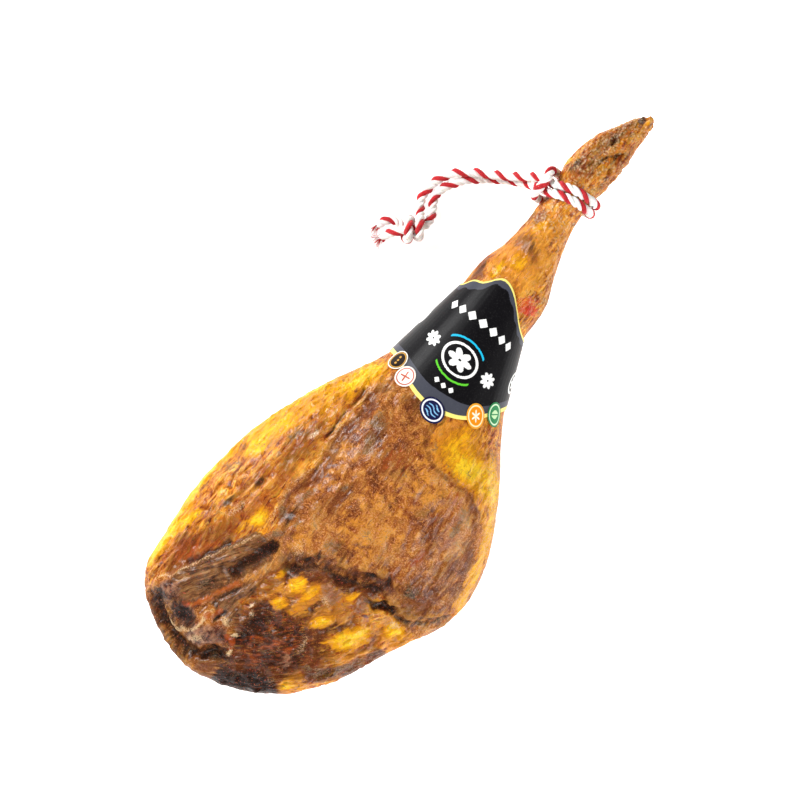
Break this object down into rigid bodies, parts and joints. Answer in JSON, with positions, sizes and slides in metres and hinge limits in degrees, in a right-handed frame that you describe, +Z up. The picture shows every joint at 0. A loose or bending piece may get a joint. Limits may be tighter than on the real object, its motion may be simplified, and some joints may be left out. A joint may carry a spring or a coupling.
{
  "type": "cured ham",
  "caption": "Whole dry-cured ham on the bone, lying meaty side up, with a paper sleeve and round seals at the shank and a twisted cord hitched round the hock.",
  "frame": {"origin": "centre of the ham's lowest plane, in the middle of its length and width without the free cord", "axes": "+X from the rump to the foot, +Y to the left of someone looking along +X, +Z up"},
  "size_m": [0.671, 0.2898, 0.1288],
  "materials": {
    "ham": "oily cured meat, fat and skin",
    "label_sleeve": "glossy printed paper",
    "seal_1": "glossy printed paper",
    "seal_2": "glossy printed paper",
    "seal_3": "glossy printed paper",
    "seal_4": "glossy printed paper",
    "seal_5": "glossy printed paper",
    "cord": "twisted cotton with one red strand"
  },
  "bodies": {
    "root": {"ham": "ham", "label_sleeve": "label_sleeve", "seal_1": "seal_1", "seal_2": "seal_2", "seal_3": "seal_3", "seal_4": "seal_4", "seal_5": "seal_5", "cord_hitch": "cord", "cord_strand_outer": "cord", "cord_strand_inner": "cord", "cord_knot_wrap": "cord", "cord_knot_core": "cord"}
  },
  "joints": []
}
